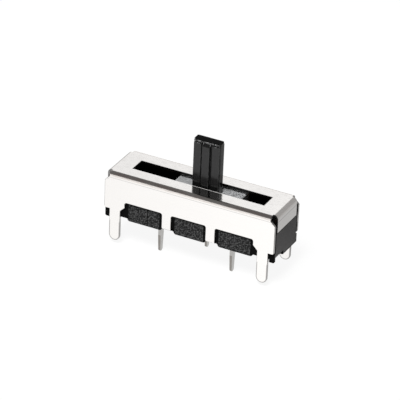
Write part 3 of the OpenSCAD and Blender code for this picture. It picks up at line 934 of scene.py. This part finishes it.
class POT_OT_board(bpy.types.Operator):
    """Finishes the board and its printed tracks"""

    bl_idname = "pot.board"
    bl_label = "Board and tracks"

    def execute(self, context):
        look = context.scene.pot.board
        silver = silver_print(look)
        finishes = {
            "substrate": laminate(look),
            "resistive_track": carbon_print(look),
            "collector_track": silver,
            "end_electrode_1": silver,
            "end_electrode_3": silver,
        }
        for node, finish in finishes.items():
            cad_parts[node].material_slots[0].material = finish
        return {"FINISHED"}


class POT_OT_terminals(bpy.types.Operator):
    """Rounds and tins the three terminals"""

    bl_idname = "pot.terminals"
    bl_label = "Terminals"

    def execute(self, context):
        look = context.scene.pot.terminals
        finish = tinned_strip(look)
        for number in (1, 2, 3):
            rounded_piece(
                f"terminal_{number}", HOUSING, finish, look.edge, cut=look.strip
            )
        return {"FINISHED"}


class POT_OT_rivets(bpy.types.Operator):
    """Makes the three hollow terminal rivets"""

    bl_idname = "pot.rivets"
    bl_label = "Rivets"

    def execute(self, context):
        look = context.scene.pot.rivets
        nodes = [f"terminal_rivet_{number}" for number in (1, 2, 3)]
        finish = copper_alloy("rivet_brass", look.colour, (6, 6, 6), 0.28)
        rivets = rivets_in_place(nodes, look, finish)
        put_in_scene(rivets.name, rivets, HOUSING, nodes, finish)
        return {"FINISHED"}


class POT_OT_slider(bpy.types.Operator):
    """Rounds and finishes the lever and its carriage"""

    bl_idname = "pot.slider"
    bl_label = "Lever and carriage"

    def execute(self, context):
        look = context.scene.pot.slider
        rounded_piece("lever", SLIDER, lever_moulding(look), look.edge)
        # the runners' ends are round enough to stop clear of the cover's end bends
        rounded_piece(
            "carriage", SLIDER, carriage_moulding(look), look.runner_end,
            share=look.edge / look.runner_end, widest=runner_end_test(),
        )
        return {"FINISHED"}


class POT_OT_wiper(bpy.types.Operator):
    """Finishes the wiper"""

    bl_idname = "pot.wiper"
    bl_label = "Wiper"

    def execute(self, context):
        colour = context.scene.pot.wiper.colour
        finish = copper_alloy("phosphor_bronze", colour, (0.5, 9, 9), 0.25)
        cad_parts["wiper"].material_slots[0].material = finish
        return {"FINISHED"}


def reach(x, y, way):
    """How far a place lies along a level direction."""
    return x * way[0] + y * way[1]


class POT_OT_stage(bpy.types.Operator):
    """Sets the floor, the pale walls and the lamp"""

    bl_idname = "pot.stage"
    bl_label = "Stage"

    def execute(self, context):
        look = context.scene.pot.stage
        context.scene.view_settings.view_transform = "Standard"
        self.make_floor(look)
        self.make_walls(context.scene, look)
        self.make_lamp(look)
        return {"FINISHED"}

    @staticmethod
    def make_floor(look):
        low = CAD_BOX[0][2]
        half = FLOOR_HALF
        data = bpy.data.meshes.new("floor")
        data.from_pydata(
            [(-half, -half, low), (half, -half, low), (half, half, low), (-half, half, low)],
            [],
            [(0, 1, 2, 3)],
        )
        floor = work_object("floor", data)
        material = bpy.data.materials.new("floor")
        material.use_nodes = True
        tree = Tree(material.node_tree)
        x, y, _ = tree.split(tree.add("ShaderNodeTexCoord", output="Object"))
        camera = tree.add("ShaderNodeLightPath", output="Is Camera Ray")
        glossy = tree.add("ShaderNodeLightPath", output="Is Glossy Ray")
        # painted shade: the floor is painted darker towards the grey corner, except straight to the
        # camera
        corner_shade = tree.smooth(reach(x, y, FLOOR_SHADE_WAY), 0.008, 0.022, 1.0, 0.44)
        level = camera + (1 - camera) * corner_shade * look.floor_shine
        tone = tree.add(
            "ShaderNodeVectorMath", {"operation": "SCALE"}, {0: look.floor_colour, "Scale": level}
        )
        surface = tree.add("ShaderNodeBsdfDiffuse", inputs={"Color": tone})
        glow = tree.add("ShaderNodeEmission", inputs={"Color": (1, 1, 1), "Strength": level})
        both = tree.add("ShaderNodeMixShader", inputs={0: (camera + glossy) * 0.9, 1: surface, 2: glow})
        tree.node("ShaderNodeOutputMaterial", inputs={"Surface": both})
        data.materials.append(material)

    @staticmethod
    def make_walls(scene, look):
        world = bpy.data.worlds.new("walls")
        scene.world = world
        world.use_nodes = True
        tree = Tree(world.node_tree)
        x, y, z = tree.split(tree.add("ShaderNodeTexCoord", output="Generated"))
        wall = tree.smooth(z - y * 0.07, 0.46, 0.52, 1.0, 0.0)
        corner = tree.smooth(reach(x, y, WALL_CORNER), 0.55, 0.82)
        high_corner = tree.smooth(reach(x, y, HIGH_CORNER), 0.35, 0.55)
        high_corner = high_corner * tree.smooth(z, 0.64, 0.72, 1.0, 0.0)
        above = look.ceiling + high_corner * (look.corner - look.ceiling)
        pale = look.walls + corner * (look.corner - look.walls)
        level = above + wall * (pale - above)
        camera = tree.add("ShaderNodeLightPath", output="Is Camera Ray")
        strength = level * (1 - camera) + camera
        back = tree.add("ShaderNodeBackground", inputs={"Color": (1, 1, 1), "Strength": strength})
        tree.node("ShaderNodeOutputWorld", inputs={"Surface": back})

    @staticmethod
    def make_lamp(look):
        data = bpy.data.lights.new("key", "AREA")
        data.shape = "DISK"
        data.size = LAMP_SIZE
        data.energy = look.key
        lamp = work_object("key", data)
        toward = Vector(LAMP_TOWARD).normalized()
        lamp.location = toward * LAMP_DISTANCE
        lamp.rotation_euler = toward.to_track_quat("Z", "Y").to_euler()
        lamp.visible_glossy = False


STEPS = (
    POT_OT_camera, POT_OT_cover, POT_OT_base, POT_OT_board, POT_OT_terminals, POT_OT_rivets,
    POT_OT_slider, POT_OT_wiper, POT_OT_stage,
)


class POT_PT_panel(bpy.types.Panel):
    """Lists the steps and their settings"""

    bl_idname = "POT_PT_panel"
    bl_label = "Slide potentiometer"
    bl_space_type = "VIEW_3D"
    bl_region_type = "UI"
    bl_category = "Slide Pot"

    def draw(self, context):
        layout = self.layout
        for step in STEPS:
            layout.operator(step.bl_idname)
        for name in LOOKS:
            box = layout.box()
            box.label(text=name.capitalize())
            settings = getattr(context.scene.pot, name)
            for key in LOOKS[name].__annotations__:
                box.prop(settings, key)


CLASSES = (*LOOKS.values(), PotSettings, *STEPS, POT_PT_panel)


def register():
    for cls in CLASSES:
        bpy.utils.register_class(cls)
    bpy.types.Scene.pot = PointerProperty(type=PotSettings)


def unregister():
    del bpy.types.Scene.pot
    for cls in reversed(CLASSES):
        bpy.utils.unregister_class(cls)


def main():
    register()
    for step in STEPS:
        group, name = step.bl_idname.split(".")
        getattr(getattr(bpy.ops, group), name)()


if __name__ == "__main__":
    main()
